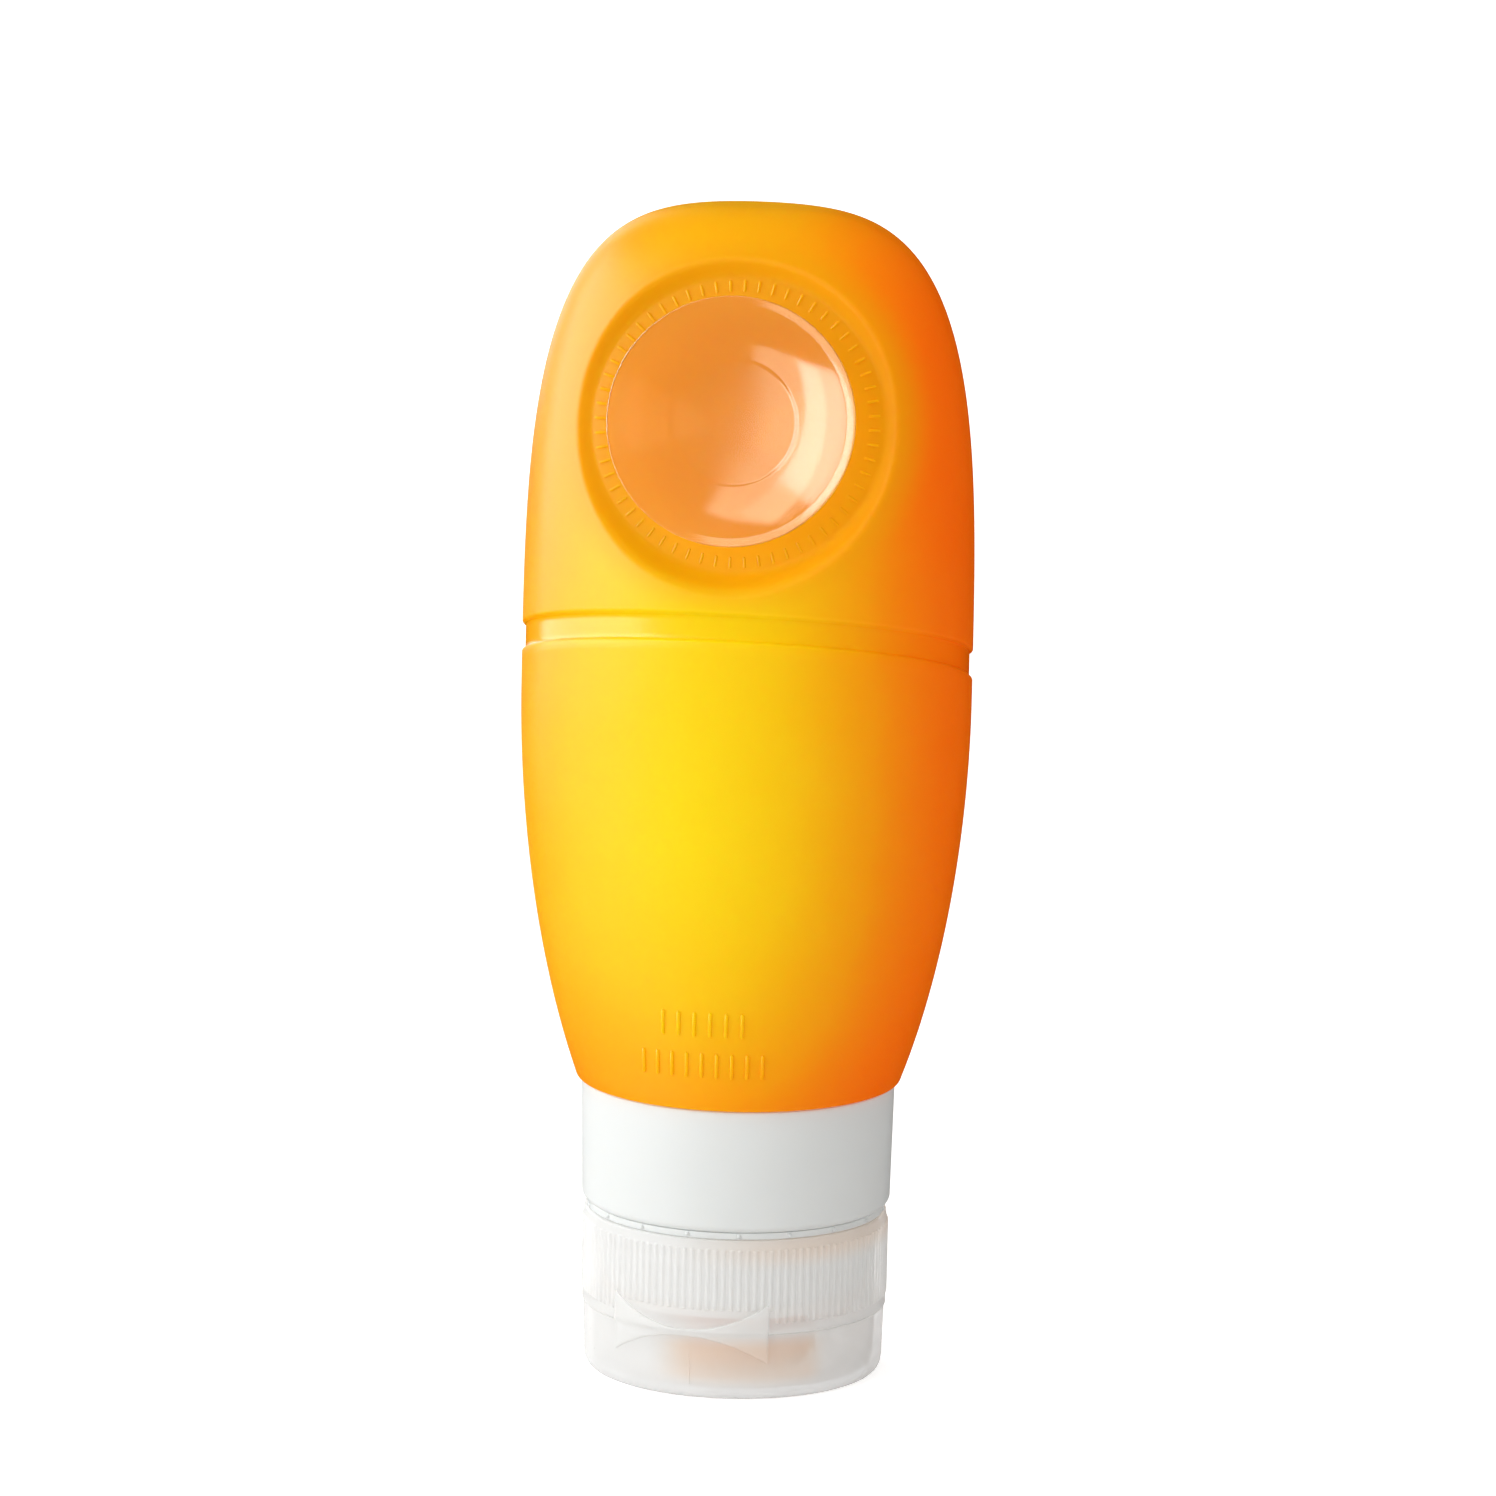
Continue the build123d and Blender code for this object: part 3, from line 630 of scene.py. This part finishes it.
cup_radius, stud_radius, head_radius, cup_columns = 15.1, 3.0, 4.8, 192
dish_start, dish_level, dish_width, dish_rise = 7.75, 2.85, 6.2, 2.4
back_level, back_width, back_fall, stud_level = 5.0, 12.1, 4.5, -0.02
dish = np.linspace(0, 1, 14)[1:-1]
dish_front = [(dish_start + dish_width * t, dish_level + dish_rise * (0.42 * t + 0.58 * t ** 2.2)) for t in dish]
dish_back = [(cup_radius - back_width * t, back_level - back_fall * (1.28 * t - 0.28 * t ** 2)) for t in dish]
cup_outline = soften(
    [(0, 2.4), (4.0, 2.45), (7.4, 2.6, 0.2), (dish_start, dish_level, 0.15)] + dish_front
    + [(13.95, 5.25, 0.05), (14.0, 5.42, 0.1), (cup_radius, 5.7, 0.16), (cup_radius, back_level, 0.12)] + dish_back
    + [(stud_radius, 0.5, 0.3), (0, 0.5)])
stud_outline = soften([(0, stud_level), (stud_radius, stud_level), (stud_radius, -1.3), (head_radius, -1.3, 0.1),
                       (head_radius, -3.4, 0.5), (0, -3.4)])
cup_points, cup_faces = turned(cup_outline, cup_columns)
stud_points, stud_faces = turned(stud_outline, cup_columns)
cup_faces += [[corner + cup_points.size // 3 for corner in face] for face in stud_faces]
cup_flat = np.concatenate([cup_points.reshape(-1, 3), stud_points.reshape(-1, 3)])
clear_cup = add_piece("clear_cup", recess_origin + cup_flat[:, :1] * recess_across + cup_flat[:, 1:2] * recess_up
                      + cup_flat[:, 2:] * recess_axis, cup_faces, crease=35)
clear_silicone, tree, shader, grain, *_ = start_finish("clear_silicone", 900.0, 0.13, 0.04, 0.02)
cloud = node(tree, "ShaderNodeMix", {"data_type": "RGBA"}, i0=grain.outputs["Patches"],
             i6=colour(250, 222, 158), i7=colour(248, 214, 146))
join(tree, cloud.outputs[2], shader.inputs["Base Color"])
shader.inputs["IOR"].default_value = 1.41
shader.inputs["Specular IOR Level"].default_value = 0.9
shader.inputs["Transmission Weight"].default_value = 0.93
clear_cup.data.materials.append(clear_silicone)
only_cup.objects.link(clear_cup)
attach(clear_cup, "bottle")
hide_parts("suction_cup")


# Rigid neck: white polypropylene in one moulding, with the thread that the cap screws on, a flange with small nubs
# that shows as a bright line under the collar, and a beaded sleeve inside the soft neck.
def lathe_piece(name, corners, body, node_name, finish, columns=256, crease=35):
    """A turned piece from the corners of its outline, with its finish. It rides on a body and stands for a node."""
    spun_points, spun_faces = turned(soften(corners), columns)
    piece = add_piece(name, spun_points.reshape(-1, 3), spun_faces, crease)
    piece.data.materials.append(finish)
    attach(piece, body)
    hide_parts(node_name)


white_plastic, tree, shader, grain, *_ = start_finish("white_plastic", 1800.0, 0.34, 0.12, 0.06)
shade_of_white = node(tree, "ShaderNodeMix", {"data_type": "RGBA"}, i0=grain.outputs["Patches"],
                      i6=colour(236, 239, 238), i7=colour(230, 234, 233))
join(tree, shade_of_white.outputs[2], shader.inputs["Base Color"])
shader.inputs["Specular IOR Level"].default_value = 0.04
shader.inputs["Subsurface Weight"].default_value = 0.2
shader.inputs["Subsurface Radius"].default_value = (1.0, 0.9, 0.8)
shader.inputs["Subsurface Scale"].default_value = 0.0015
neck_corners = [
    (13.9, 11.18, 0.2), (15.9, 11.18, 0.4), (15.9, 20.36), (18.25, 20.36, 0.1), (18.25, 21.17, 0.1), (17.6, 21.17),
    (17.6, 21.98), (14.3, 21.98), (14.3, 26.07), (14.8, 26.07), (14.3, 27.67), (14.3, 31.26), (14.8, 31.26),
    (14.3, 32.86), (14.3, 35.63), (12.7, 35.63), (12.7, 20.48), (13.9, 18.88)]
lathe_piece("rigid_neck", neck_corners, "bottle", "neck_insert", white_plastic)
flange_nubs = grow("flange_nubs", ring_tree, {
    "Count": 18, "Ring Radius": 18.2 * mm, "Level": 20.78 * mm, "Finish": white_plastic}, bar(0.1, 0.3, 0.28))
thread_tree = bpy.data.node_groups.new("thread_ridge", "GeometryNodeTree")
for label, kind in (("Turns", "NodeSocketFloat"), ("Ridge Radius", "NodeSocketFloat"), ("Rise", "NodeSocketFloat"),
                    ("Half Thickness", "NodeSocketFloat"), ("Level", "NodeSocketFloat"),
                    ("Finish", "NodeSocketMaterial")):
    thread_tree.interface.new_socket(label, in_out="INPUT", socket_type=kind)
thread_tree.interface.new_socket("Ridge", in_out="OUTPUT", socket_type="NodeSocketGeometry")
into, out = thread_tree.nodes.new("NodeGroupInput"), thread_tree.nodes.new("NodeGroupOutput")
helix = node(thread_tree, "GeometryNodeCurveSpiral", Resolution=96, Rotations=into.outputs["Turns"],
             Start_Radius=into.outputs["Ridge Radius"], End_Radius=into.outputs["Ridge Radius"],
             Height=into.outputs["Rise"], Reverse=True)
along = node(thread_tree, "GeometryNodeSplineParameter")
from_end = node(thread_tree, "ShaderNodeMath", {"operation": "SUBTRACT"}, i0=1.0, i1=along.outputs["Factor"])
nearer_end = node(thread_tree, "ShaderNodeMath", {"operation": "MINIMUM"}, i0=along.outputs["Factor"],
                  i1=from_end.outputs["Value"])
run_in_rate, end_size = 14.0, 0.12
taper = node(thread_tree, "ShaderNodeMath", {"operation": "MULTIPLY_ADD", "use_clamp": True},
             i0=nearer_end.outputs["Value"], i1=run_in_rate, i2=end_size)
ridge_section = node(thread_tree, "GeometryNodeCurvePrimitiveCircle", Resolution=10,
                     Radius=into.outputs["Half Thickness"])
swept = node(thread_tree, "GeometryNodeCurveToMesh", Curve=helix.outputs["Curve"],
             Profile_Curve=ridge_section.outputs["Curve"], Scale=taper.outputs["Value"], Fill_Caps=True)
ridge_level = node(thread_tree, "ShaderNodeCombineXYZ", Z=into.outputs["Level"])
placed = node(thread_tree, "GeometryNodeTransform", Geometry=swept.outputs["Mesh"],
              Translation=ridge_level.outputs["Vector"])
real_ridge = node(thread_tree, "GeometryNodeRealizeInstances", Geometry=placed.outputs["Geometry"])
ridge_finish = node(thread_tree, "GeometryNodeSetMaterial", Geometry=real_ridge.outputs["Geometry"],
                    Material=into.outputs["Finish"])
join(thread_tree, ridge_finish.outputs["Geometry"], out.inputs["Ridge"])
neck_thread = grow("neck_thread", thread_tree, {
    "Turns": 1.4, "Ridge Radius": 16.1 * mm, "Rise": 4.9 * mm, "Half Thickness": 0.9 * mm, "Level": 12.6 * mm,
    "Finish": white_plastic})
for extra in (flange_nubs, neck_thread):
    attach(extra, "bottle")


# Clamp ring: a hard white ring, pushed over the soft neck until it stands on the flange. It squeezes the silicone
# onto the sleeve's beads, and the collar hides it.
lathe_piece("clamping_ring", [(16.3, 21.98), (17.6, 21.98, 0.15), (17.6, 35.01, 0.5), (16.3, 35.01, 0.15)],
            "bottle", "clamp_ring", white_plastic)


# Collar: a smooth sleeve of the same white plastic, which turns on the clamp ring. It is a little wider at its top,
# has softened edges, and holds on by a lip that closes over the ring.
lathe_piece("white_collar", [
    (17.9, 21.23, 0.15), (18.35, 21.23, 0.25), (18.95, 21.83, 0.4), (19.25, 36.51, 0.36), (16.6, 36.51, 0.1),
    (16.6, 35.31, 0.1), (17.9, 35.31)], "collar", "collar", white_plastic, columns=320)


# Screw cap: frosted natural polypropylene, moulded in one. Its skirt carries fine ribs outside, a thread inside and
# a dip for the thumb, and its deck the nozzle and a guide ring for the lid.
def frosted(name, cloudiness, painted_glow_by):
    """Frosted plastic, with peach painted in as light from the nozzle and the orange neck: near the nozzle and,
    fainter, under the flange, both kept off the left side. It glows a little by emission, a painted glow. The places
    of the painted peach light are in metres."""
    finish, tree, shader, grain, place, _ = start_finish(name, 2200.0, 0.32, 0.16, 0.12)
    milk = node(tree, "ShaderNodeMix", {"data_type": "RGBA"}, i0=grain.outputs["Patches"],
                i6=colour(250, 251, 250), i7=colour(243, 245, 244))
    parts = node(tree, "ShaderNodeSeparateXYZ", Vector=place)
    flat_place = node(tree, "ShaderNodeCombineXYZ", X=parts.outputs["X"], Y=parts.outputs["Y"])
    off_axis = node(tree, "ShaderNodeVectorMath", {"operation": "LENGTH"}, i0=flat_place.outputs["Vector"])

    def ramp(value, start, end):
        """A smooth rise from 0 at start to 1 at end."""
        return node(tree, "ShaderNodeMapRange", {"interpolation_type": "SMOOTHSTEP"}, Value=value,
                    From_Min=start, From_Max=end).outputs["Result"]

    def product(a, b):
        """Two masks as one."""
        return node(tree, "ShaderNodeMath", {"operation": "MULTIPLY"}, i0=a, i1=b).outputs["Value"]

    # Painted peach light, as if from the peach valve and the orange neck: near the nozzle and low on the front of the
    # wall, kept off the left side, and fainter high on the skirt under the flange, stronger to the right.
    near_axis = ramp(off_axis.outputs["Value"], 0.0128, 0.0112)
    low_on_right = product(ramp(parts.outputs["X"], 0.0138, 0.0112), ramp(parts.outputs["Z"], 0.0085, 0.0065))
    on_wall = product(low_on_right, 0.3)
    near_nozzle = node(tree, "ShaderNodeMath", {"operation": "MAXIMUM"}, i0=near_axis, i1=on_wall).outputs["Value"]
    nozzle_painted_light = product(product(near_nozzle, ramp(parts.outputs["Z"], 0.0014, 0.0036)),
                           ramp(parts.outputs["X"], -0.0085, -0.0025))
    top_painted_light = product(ramp(parts.outputs["Z"], 0.016, 0.019), ramp(parts.outputs["X"], -0.008, 0.014))
    painted_peach_light = node(tree, "ShaderNodeMath", {"operation": "MULTIPLY_ADD", "use_clamp": True}, i0=top_painted_light, i1=0.25,
                 i2=nozzle_painted_light)
    # The painted peach light is mixed into the milky colour.
    milk_with_painted_light = node(tree, "ShaderNodeMix", {"data_type": "RGBA"}, i0=painted_peach_light.outputs["Value"], i6=milk.outputs[2],
                     i7=colour(255, 176, 84))
    join(tree, milk_with_painted_light.outputs[2], shader.inputs["Base Color"])
    shader.inputs["Alpha"].default_value = cloudiness
    shader.inputs["Specular IOR Level"].default_value = 0.12
    # A faint white emission: a painted glow, as if light came through the frosted plastic.
    shader.inputs["Emission Color"].default_value = colour(255, 252, 248)
    shader.inputs["Emission Strength"].default_value = painted_glow_by
    shader.inputs["Subsurface Weight"].default_value = 0.5
    shader.inputs["Subsurface Radius"].default_value = (1.0, 1.0, 1.0)
    shader.inputs["Subsurface Scale"].default_value = 0.0015
    return finish


frosted_skirt = frosted("frosted_skirt", 0.6, 0.07)
frosted_plastic = frosted("frosted_plastic", 0.46, 0.055)
hinge_turn, seam_z, lock_z, skirt_top_z, lid_side_radius = radians(-100), 8.53, 9.83, 20.28, 18.75
rib_count, rib_height, rib_half_width, rib_circle, columns_a_rib = 120, 0.22, 0.26, 18.63, 6
ribs_from, ribs_over_hinge_from, ribs_over_dip_from, rib_foot, rib_end, ribs_to = 9.8, 11.4, 12.4, 0.2, 18.95, 19.18
hinge_plain_turn, dip_plain_turn, dip_turn = radians(33), radians(14), radians(20)
dip_centre, dip_radius, dip_from, dip_to, wall_outside, ribs_outside = 48.55, 30.5, 11.95, 12.2, 17.5, 18.4
skirt_levels = [9.2, 9.5, 9.7, 9.8, 9.88, 9.98, 10.1, 10.7, 11.3, 11.4, 11.48, 11.58, 11.7, 11.95, 12.05, 12.15, 12.3,
                12.4, 12.48, 12.58, 12.7, 13.5, 15.0, 17.0, 18.9, 18.98, 19.06, 19.14, 19.2, 19.5]
skirt_corners = [
    (6.5, 3.93, 0.15), (9.0, 3.93, 0.25), (9.0, seam_z, 0.15), (16.1, seam_z), (16.1, 7.53, 0.15), (17.0, 7.53, 0.3),
    (17.0, seam_z), (lid_side_radius, seam_z, 0.2)] + [
    (float(np.interp(z, [seam_z, lock_z, ribs_to, skirt_top_z], [lid_side_radius, rib_circle, rib_circle, 18.6])), z)
    for z in skirt_levels] + [
    (18.6, skirt_top_z, 0.25), (17.25, skirt_top_z, 0.2), (17.25, 10.18), (7.8, 10.18), (7.8, 4.63), (6.5, 4.63)]
spun_points, spun_faces = turned(soften(skirt_corners), rib_count * columns_a_rib)
way, level = np.arctan2(spun_points[..., 1], spun_points[..., 0]), spun_points[..., 2]
radius = np.hypot(spun_points[..., 0], spun_points[..., 1])
from_hinge = np.abs((way - hinge_turn + pi) % (2 * pi) - pi)
from_dip = pi - from_hinge
dip_reach = dip_centre * np.cos(from_dip) \
    - np.sqrt(np.clip(dip_radius ** 2 - (dip_centre * np.sin(from_dip)) ** 2, 0, None))
dipped = np.where((from_dip < dip_turn) & (radius > wall_outside), np.minimum(radius, dip_reach), radius)
rib_start = np.where(from_hinge < hinge_plain_turn, ribs_over_hinge_from,
                     np.where(from_dip < dip_plain_turn, ribs_over_dip_from, ribs_from))
off_rib = ((way / (2 * pi) * rib_count) % 1 - 0.5) * 2 * pi * rib_circle / rib_count
rib_section = rib_height * np.sqrt(np.clip(1 - (off_rib / rib_half_width) ** 2, 0, 1)) * (radius > ribs_outside)
ridge = rib_section * smooth_step(level, rib_start, rib_start + rib_foot) * (1 - smooth_step(level, rib_end, ribs_to))
shaped = radius + (dipped - radius) * (1 - smooth_step(level, dip_from, dip_to)) + ridge
spun_points[..., 0] *= shaped / radius
spun_points[..., 1] *= shaped / radius
screw_cap = add_piece("screw_cap", spun_points.reshape(-1, 3), spun_faces, 35)
screw_cap.data.materials.append(frosted_skirt)
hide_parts("cap_body")
cap_thread = grow("cap_thread", thread_tree, {
    "Turns": 1.3, "Ridge Radius": 17.05 * mm, "Rise": 4.55 * mm, "Half Thickness": 0.9 * mm, "Level": 14.35 * mm,
    "Finish": frosted_skirt})
for part in (screw_cap, cap_thread):
    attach(part, "cap")


# Gasket, slit valve and its ring: a foam washer lies on the deck, where the neck's mouth presses it. The white ring
# holds the soft peach valve in the nozzle.
foam, tree, shader, grain, *_ = start_finish("gasket_foam", 3000.0, 0.85, 0.1, 0.5)
foam_tint = node(tree, "ShaderNodeMix", {"data_type": "RGBA"}, i0=grain.outputs["Patches"],
                 i6=colour(236, 214, 194), i7=colour(228, 202, 180))
join(tree, foam_tint.outputs[2], shader.inputs["Base Color"])
lathe_piece("foam_gasket", [(13.1, 10.18, 0.15), (16.3, 10.18, 0.15), (16.3, 11.18, 0.15), (13.1, 11.18, 0.15)],
            "seal", "cap_gasket", foam)
peach, tree, shader, grain, *_ = start_finish("peach_silicone", 1500.0, 0.3, 0.1, 0.1)
peach_tint = node(tree, "ShaderNodeMix", {"data_type": "RGBA"}, i0=grain.outputs["Patches"],
                  i6=colour(236, 176, 134), i7=colour(228, 166, 124))
join(tree, peach_tint.outputs[2], shader.inputs["Base Color"])
shader.inputs["Subsurface Weight"].default_value = 0.3
shader.inputs["Subsurface Scale"].default_value = 0.002
for name, finish in (("valve", peach), ("valve_retainer", white_plastic)):
    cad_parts[name].data.materials.clear()
    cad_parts[name].data.materials.append(finish)


# Flip lid: the same frosted plastic, a flat-footed cup with a ring inside that closes round the nozzle, and a
# fine upright mould line near the hinge.
lathe_piece("lid_cup", [
    (0, 0), (18.3, 0, 1.9), (18.55, 8.45, 0.12), (17.45, 8.45, 0.12), (17.2, 1.3, 0.6), (10.2, 1.3),
    (10.2, 4.93, 0.15), (9.4, 4.93, 0.15), (9.4, 1.3), (0, 1.3)],
            "lid", "lid", frosted_plastic, columns=360)
mould_turn, mould_line_out, mould_line_z, lid_circle = radians(-98), 18.42, 4.2, 18.4
line_points, line_faces = bar(4.4, 0.09, 0.09)
mould_line = add_piece("mould_line", [
    ((mould_line_out + y) * cos(mould_turn + z / lid_circle), (mould_line_out + y) * sin(mould_turn + z / lid_circle),
     x + mould_line_z) for x, y, z in line_points], line_faces)
mould_line.data.materials.append(frosted_plastic)
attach(mould_line, "lid")


# Butterfly hinge: a bow-tie web of the same plastic, proud of cap and lid, thin at its waist on the seam, where the
# real web bends as the lid swings. This piece keeps its closed shape.
hinge_z, web_half_turn, web_half_height, web_waist = 8.49, radians(32), 3.75, 0.42
web_circle, web_crown, web_backing = 18.85, 0.26, 0.34
lid_side, cap_stands_out, seam_half_height = 18.62, 0.2, 0.4
web_columns, web_rows = 72, 28
half_chord = web_circle * sin(web_half_turn)
bow = (half_chord ** 2 + (web_half_height - web_waist) ** 2) / (2 * (web_half_height - web_waist))
web_grid = []
for side in (1, -1):
    for row in range(web_rows + 1):
        share_up = -cos(pi * row / web_rows)
        for column in range(web_columns + 1):
            share_on = -cos(pi * column / web_columns)
            turn_by = web_half_turn * share_on
            half_here = web_waist + bow - (bow ** 2 - (web_circle * sin(turn_by)) ** 2) ** 0.5
            z = hinge_z + half_here * share_up
            base = lid_side + cap_stands_out * smooth_step(z, hinge_z - seam_half_height, hinge_z + seam_half_height)
            crown = web_crown * (1 - abs(share_up) ** 6) ** 0.5 * (1 - abs(share_on) ** 40) ** 0.5
            radius = base + crown if side > 0 else base - web_backing
            web_grid.append((radius * cos(hinge_turn + turn_by), radius * sin(hinge_turn + turn_by), z))
across_count = web_columns + 1
layer = (web_rows + 1) * across_count
web_faces = []
for row in range(web_rows):
    for column in range(web_columns):
        a = row * across_count + column
        web_faces.append([a, a + 1, a + across_count + 1, a + across_count])
        web_faces.append([layer + a, layer + a + across_count, layer + a + across_count + 1, layer + a + 1])
border = [c for c in range(web_columns)] + [r * across_count + web_columns for r in range(web_rows)] \
    + [web_rows * across_count + c for c in range(web_columns, 0, -1)] \
    + [r * across_count for r in range(web_rows, 0, -1)]
for here, there in zip(border, border[1:] + border[:1]):
    web_faces.append([here, layer + here, layer + there, there])
hinge_bow = add_piece("hinge_bow", web_grid, web_faces, crease=50)
hinge_bow.data.materials.append(frosted_plastic)
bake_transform(hinge_bow)
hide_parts("hinge_web")
